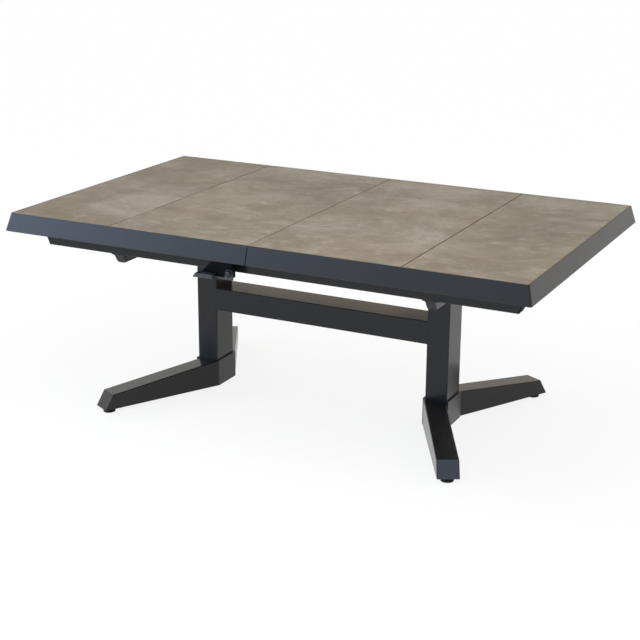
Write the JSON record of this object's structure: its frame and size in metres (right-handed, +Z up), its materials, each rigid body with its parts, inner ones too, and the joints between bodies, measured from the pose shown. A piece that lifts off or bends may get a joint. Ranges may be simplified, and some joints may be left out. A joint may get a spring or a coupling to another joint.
{
  "type": "extending dining table",
  "caption": "Extending dining table: tiled half-tops slide apart on rails above a column and stretcher base with splayed feet, and a spare leaf lies stored beneath.",
  "frame": {"origin": "on the floor under the middle of the closed top", "axes": "+X along the table and the way that the right half slides, +Y to the back, +Z up"},
  "size_m": [1.9992, 1.2142, 0.765],
  "materials": {
    "tile": "opaque ceramic-faced slab, fine matt, clouded taupe",
    "frame_coat": "satin powder coat",
    "base_coat": "satin powder coat",
    "plate_coat": "satin powder coat",
    "bare_aluminium": "mill",
    "lever_metal": "satin",
    "bare_steel": "plated",
    "black_plastic": "moulded",
    "glide_plastic": "moulded",
    "pad": "moulded"
  },
  "bodies": {
    "base": {"left_column": "base_coat", "right_column": "base_coat", "stretcher_beam": "base_coat", "left_hub": "base_coat", "right_hub": "base_coat", "foot_left_front": "base_coat", "foot_left_back": "base_coat", "foot_right_front": "base_coat", "foot_right_back": "base_coat", "left_head_plate": "plate_coat", "right_head_plate": "plate_coat", "left_crossbar": "base_coat", "right_crossbar": "base_coat", "front_rail": "base_coat", "back_rail": "base_coat", "rail_end_caps": "black_plastic", "head_plate_bolts": "bare_steel", "rail_bolts": "bare_steel", "leaf_guides": "black_plastic"},
    "left_half": {"left_front_edge": "frame_coat", "left_back_edge": "frame_coat", "left_end_edge": "frame_coat", "left_seam_bar": "frame_coat", "left_inner_tile": "tile", "left_outer_tile": "tile", "left_support_bars": "bare_aluminium", "left_runners": "bare_aluminium", "left_glides": "glide_plastic", "left_corner_keys": "bare_aluminium", "left_dowel": "bare_steel", "left_runner_screws": "bare_steel", "left_lock_housing": "black_plastic", "left_lock_screws": "bare_steel"},
    "left_lever": {"left_lock_lever": "lever_metal", "left_clamp_screw": "bare_steel"},
    "right_half": {"right_front_edge": "frame_coat", "right_back_edge": "frame_coat", "right_end_edge": "frame_coat", "right_seam_bar": "frame_coat", "right_inner_tile": "tile", "right_outer_tile": "tile", "right_support_bars": "bare_aluminium", "right_runners": "bare_aluminium", "right_glides": "glide_plastic", "right_corner_keys": "bare_aluminium", "right_dowel": "bare_steel", "right_runner_screws": "bare_steel", "right_lock_housing": "black_plastic", "right_lock_screws": "bare_steel"},
    "right_lever": {"right_lock_lever": "lever_metal", "right_clamp_screw": "bare_steel"},
    "leaf": {"leaf_tile": "tile", "leaf_end_edges": "frame_coat", "leaf_side_bars": "frame_coat", "leaf_support_bars": "bare_aluminium"},
    "levelling_pad_left_front": {"levelling_pad_left_front": "pad"},
    "levelling_pad_left_back": {"levelling_pad_left_back": "pad"},
    "levelling_pad_right_front": {"levelling_pad_right_front": "pad"},
    "levelling_pad_right_back": {"levelling_pad_right_back": "pad"}
  },
  "joints": [
    {"name": "right_half_slide", "type": "slide", "parent": "base", "child": "right_half", "axis": [1, 0, 0], "range_m": [0, 0.3]},
    {"name": "left_half_slide", "type": "slide", "parent": "base", "child": "left_half", "axis": [-1, 0, 0], "range_m": [0, 0.3]},
    {"name": "right_lever_turn", "type": "hinge", "parent": "right_half", "child": "right_lever", "pos_m": [0.1185, 0.505, 0.6335], "axis": [0, 1, 0], "range_deg": [0, 60]},
    {"name": "left_lever_turn", "type": "hinge", "parent": "left_half", "child": "left_lever", "pos_m": [-0.1185, -0.505, 0.6335], "axis": [0, -1, 0], "range_deg": [0, 60]},
    {"name": "leaf_slide", "type": "slide", "parent": "base", "child": "leaf", "axis": [1, 0, 0], "range_m": [0, 0.6]},
    {"name": "left_front_pad_turn", "type": "hinge", "parent": "base", "child": "levelling_pad_left_front", "pos_m": [-0.68609, -0.449, 0.018], "axis": [0, 0, 1], "continuous": true},
    {"name": "left_back_pad_turn", "type": "hinge", "parent": "base", "child": "levelling_pad_left_back", "pos_m": [-0.68609, 0.449, 0.018], "axis": [0, 0, 1], "continuous": true},
    {"name": "right_front_pad_turn", "type": "hinge", "parent": "base", "child": "levelling_pad_right_front", "pos_m": [0.68609, -0.449, 0.018], "axis": [0, 0, 1], "continuous": true},
    {"name": "right_back_pad_turn", "type": "hinge", "parent": "base", "child": "levelling_pad_right_back", "pos_m": [0.68609, 0.449, 0.018], "axis": [0, 0, 1], "continuous": true}
  ]
}
